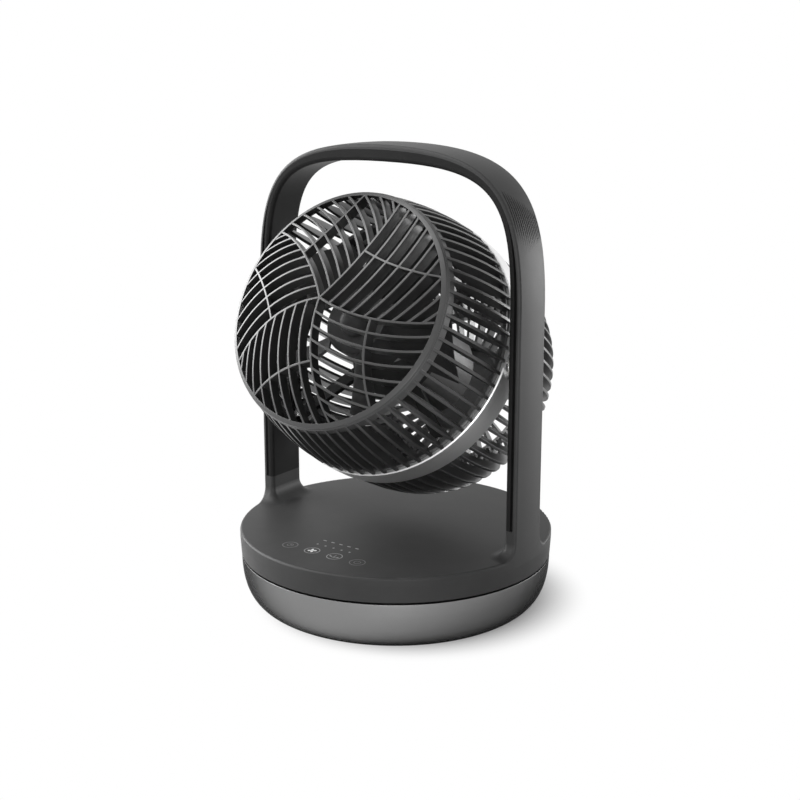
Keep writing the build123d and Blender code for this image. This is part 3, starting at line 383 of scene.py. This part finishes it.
swing = ring_strips(swing_x, key_y, key_r, mark_line)
arc_y = key_y + swing_rise * key_r
swing += ring_strips(swing_x, arc_y, swing_r * key_r, mark_line, *swing_ends, count=16)
tip_r = swing_r * key_r - mark_line / 2
for turn, way in zip(swing_ends, (-1, 1)):
    swing.append(arrow_head(swing_x, arc_y, tip_r, turn, way, arrow_length * key_r, arrow_width * key_r))
swing.append(bar(swing_x, key_y + swing_bar[0] * key_r, swing_x, key_y + swing_bar[1] * key_r, sign_line))
mark_piece("swing_key_mark", swing, print_grey)

power = ring_strips(power_x, key_y, key_r, mark_line)
power += ring_strips(power_x, key_y, power_r * key_r, sign_line, *power_ends, count=28)
power.append(bar(power_x, key_y + power_bar[0] * key_r, power_x, key_y + power_bar[1] * key_r, sign_line))
mark_piece("power_key_mark", power, print_faint)

lamp_row = row(lamp_x, lamp_pitch, lamp_count)
dashes = [bar(x - dash_length / 2, dash_y, x + dash_length / 2, dash_y, dash_width) for x in lamp_row]
mark_piece("hour_lamps", dashes, print_grey)
mark_piece("speed_lamps", [disc(x, dot_y, dot_r) for x in lamp_row], print_grey)


# Stage: a floor that fades to white away from the object
def largest(tree, *sources):
    """The largest of some values."""
    value = sources[0]
    for source in sources[1:]:
        larger = tree.nodes.new("ShaderNodeMath")
        larger.operation = "MAXIMUM"
        tree.links.new(value, larger.inputs[0])
        tree.links.new(source, larger.inputs[1])
        value = larger.outputs["Value"]
    return value


def product(tree, one, other):
    """Two values multiplied."""
    both = tree.nodes.new("ShaderNodeMath")
    both.operation = "MULTIPLY"
    tree.links.new(one, both.inputs[0])
    tree.links.new(other, both.inputs[1])
    return both.outputs["Value"]


def fade(tree, source, radii):
    """Nothing inside the first radius, and one from the second on."""
    step = tree.nodes.new("ShaderNodeMapRange")
    step.interpolation_type = "SMOOTHSTEP"
    step.inputs["From Min"].default_value = radii[0]
    step.inputs["From Max"].default_value = radii[1]
    tree.links.new(source, step.inputs["Value"])
    return step.outputs["Result"]


def floor_material():
    """White floor that keeps shadows near the object and is plain white further out."""
    material, tree, shader = new_material("floor_white")
    shader.inputs["Base Color"].default_value = (*grey(floor_level), 1)
    shader.inputs["Roughness"].default_value = floor_rough
    shader.inputs["Specular IOR Level"].default_value = 0.0
    glow = tree.nodes.new("ShaderNodeEmission")
    glow.inputs["Strength"].default_value = 1.0
    place = tree.nodes.new("ShaderNodeTexCoord")
    length = tree.nodes.new("ShaderNodeVectorMath")
    length.operation = "LENGTH"
    tree.links.new(place.outputs["Object"], length.inputs[0])
    radius = length.outputs["Value"]
    path = tree.nodes.new("ShaderNodeLightPath").outputs
    seen = product(tree, path["Is Camera Ray"], fade(tree, radius, floor_fade))
    mirrored = largest(tree, path["Is Glossy Ray"], path["Is Transmission Ray"])
    mirrored = product(tree, mirrored, fade(tree, radius, mirror_fade))
    mix = tree.nodes.new("ShaderNodeMixShader")
    tree.links.new(largest(tree, seen, mirrored), mix.inputs["Fac"])
    tree.links.new(shader.outputs["BSDF"], mix.inputs[1])
    tree.links.new(glow.outputs["Emission"], mix.inputs[2])
    tree.links.new(mix.outputs["Shader"], tree.nodes["Material Output"].inputs["Surface"])
    return material


def make_floor():
    """Round floor under the object."""
    bm = bmesh.new()
    bmesh.ops.create_circle(bm, cap_ends=True, radius=floor_r, segments=floor_sides)
    mesh = bpy.data.meshes.new("floor")
    bm.to_mesh(mesh)
    bm.free()
    floor = bpy.data.objects.new("floor", mesh)
    floor.data.materials.append(floor_material())
    floor.location = floor_place
    bpy.context.scene.collection.objects.link(floor)


def make_world():
    """White surroundings for what the camera and reflections see, softer as a light on matt surfaces."""
    world = bpy.data.worlds.new("studio")
    bpy.context.scene.world = world
    world.use_nodes = True
    tree = world.node_tree
    background = tree.nodes["Background"]
    background.inputs["Color"].default_value = (1, 1, 1, 1)
    level = tree.nodes.new("ShaderNodeMapRange")
    level.inputs["To Min"].default_value = fill_strength
    level.inputs["To Max"].default_value = 1.0
    path = tree.nodes.new("ShaderNodeLightPath").outputs
    seen = largest(tree, path["Is Camera Ray"], path["Is Glossy Ray"], path["Is Transmission Ray"])
    tree.links.new(seen, level.inputs["Value"])
    tree.links.new(level.outputs["Result"], background.inputs["Strength"])


# Lamps and camera
def make_lamp(name, azimuth, elevation, distance, width, height, watts):
    """Soft lamp that looks at the object."""
    light = bpy.data.lights.new(name, "AREA")
    light.shape = "RECTANGLE"
    light.size = width
    light.size_y = height
    light.energy = watts
    lamp = bpy.data.objects.new(name, light)
    a, e = radians(azimuth), radians(elevation)
    lamp.location = lamp_target + distance * Vector((sin(a) * cos(e), -cos(a) * cos(e), sin(e)))
    lamp.rotation_euler = (lamp_target - lamp.location).to_track_quat("-Z", "Y").to_euler()
    bpy.context.scene.collection.objects.link(lamp)


def make_camera():
    """Camera at the photograph's viewing angle."""
    camera = bpy.data.cameras.new("camera")
    camera.lens = camera_lens
    camera.sensor_width = camera_sensor
    viewer = bpy.data.objects.new("camera", camera)
    viewer.location = camera_place
    viewer.rotation_euler = (Vector(camera_target) - viewer.location).to_track_quat("-Z", "Y").to_euler()
    bpy.context.scene.collection.objects.link(viewer)
    bpy.context.scene.camera = viewer


make_floor()
make_world()
for lamp_name, settings in lamps.items():
    make_lamp(lamp_name, *settings)
make_camera()
bpy.context.scene.view_settings.view_transform = "Standard"
